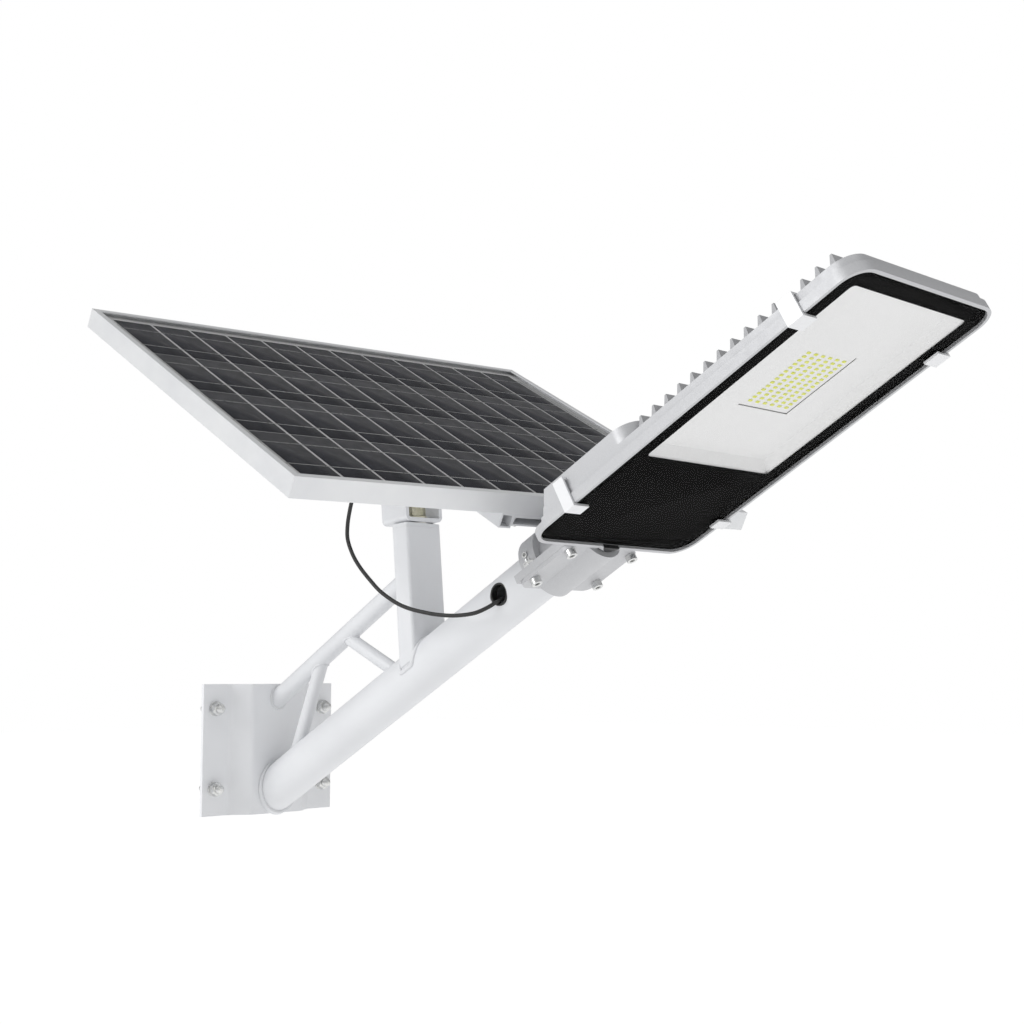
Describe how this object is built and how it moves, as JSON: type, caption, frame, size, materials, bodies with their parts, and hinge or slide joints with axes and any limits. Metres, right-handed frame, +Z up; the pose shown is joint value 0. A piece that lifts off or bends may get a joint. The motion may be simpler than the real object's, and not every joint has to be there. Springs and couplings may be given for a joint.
{
  "type": "solar street lamp",
  "caption": "Wall-mounted solar street lamp: a braced steel arm carries a tilting solar panel on a post and a clamped, finned LED lamp head.",
  "frame": {"origin": "centre of the four wall bolts, on the plane of the wall", "axes": "+X out of the wall, +Y along the wall (to the right, seen from the wall), +Z up"},
  "size_m": [1.0727, 0.7446, 0.6634],
  "materials": {
    "plate_paint": "satin powder coat",
    "bracket_paint": "satin powder coat",
    "zinc": "bright zinc plate",
    "yellow_zinc": "yellow zinc plate",
    "nylon": "matt",
    "black_rubber": "matt",
    "black_plastic": "matt",
    "frame_aluminium": "satin anodised",
    "solar_glass": "clear, low iron",
    "silicon": "dark blue cells",
    "backsheet": "white film",
    "head_paint": "silver grey powder coat",
    "lamp_glass": "toughened, clear",
    "mask_ink": "black, behind the glass",
    "gasket_rubber": "matt silicone",
    "reflector_white": "white",
    "led_phosphor": "pale yellow phosphor",
    "cell_wrap": "shrink sleeve",
    "tray_plastic": "matt",
    "board_green": "solder resist",
    "clip_steel": "satin"
  },
  "bodies": {
    "bracket": {"wall_plate": "plate_paint", "wall_studs": "zinc", "wall_washers": "zinc", "wall_nuts": "zinc", "arm_tube": "bracket_paint", "arm_weld": "bracket_paint", "post_tube": "bracket_paint", "brace_tube": "bracket_paint", "upper_strut": "bracket_paint", "lower_strut": "bracket_paint", "post_cap": "bracket_paint", "swivel_pad": "nylon", "swivel_bolt": "yellow_zinc", "swivel_washer": "yellow_zinc", "swivel_nut": "yellow_zinc", "hole_grommet": "black_rubber", "cable": "black_rubber"},
    "saddle": {"saddle_yoke": "bracket_paint", "pivot_bolt": "zinc", "pivot_washers": "zinc", "pivot_nut": "zinc", "connector_plug": "black_plastic", "connector_socket": "black_plastic", "panel_lead": "black_rubber"},
    "panel": {"pivot_lugs": "bracket_paint", "pivot_spacer": "zinc", "panel_rail": "bracket_paint", "rail_end_channels": "bracket_paint", "rail_bolts": "zinc", "frame_low": "frame_aluminium", "frame_high": "frame_aluminium", "frame_left": "frame_aluminium", "frame_right": "frame_aluminium", "corner_keys": "frame_aluminium", "panel_glass": "solar_glass", "solar_cells": "silicon", "panel_backsheet": "backsheet", "junction_box": "black_plastic", "junction_lid": "black_plastic", "cable_gland": "black_plastic"},
    "head": {"head_housing": "head_paint", "clamp_cover": "head_paint", "clamp_bolts": "zinc", "clamp_nuts": "zinc", "set_screws": "zinc", "front_glass": "lamp_glass", "glass_mask": "mask_ink", "glass_gasket": "gasket_rubber", "reflector_tray": "reflector_white", "led_board": "reflector_white", "led_chips": "led_phosphor", "battery_cells": "cell_wrap", "battery_tray": "tray_plastic", "charge_controller": "board_green", "side_clips": "clip_steel", "clip_screws": "zinc", "rear_plug": "black_plastic"}
  },
  "joints": [
    {"name": "panel_swivel", "type": "hinge", "parent": "bracket", "child": "saddle", "pos_m": [0.3036, 0, 0.3], "axis": [-0.0872, 0, 0.9962], "range_deg": [-4, 16]},
    {"name": "panel_tilt", "type": "hinge", "parent": "saddle", "child": "panel", "pos_m": [0.29658, 0, 0.38019], "axis": [0.1041, 0.9945, 0.0091], "range_deg": [-28.5, 0]},
    {"name": "head_roll", "type": "hinge", "parent": "bracket", "child": "head", "pos_m": [0, 0, -0.0695], "axis": [0.8746, 0, 0.4848], "range_deg": [-15, 15]}
  ]
}
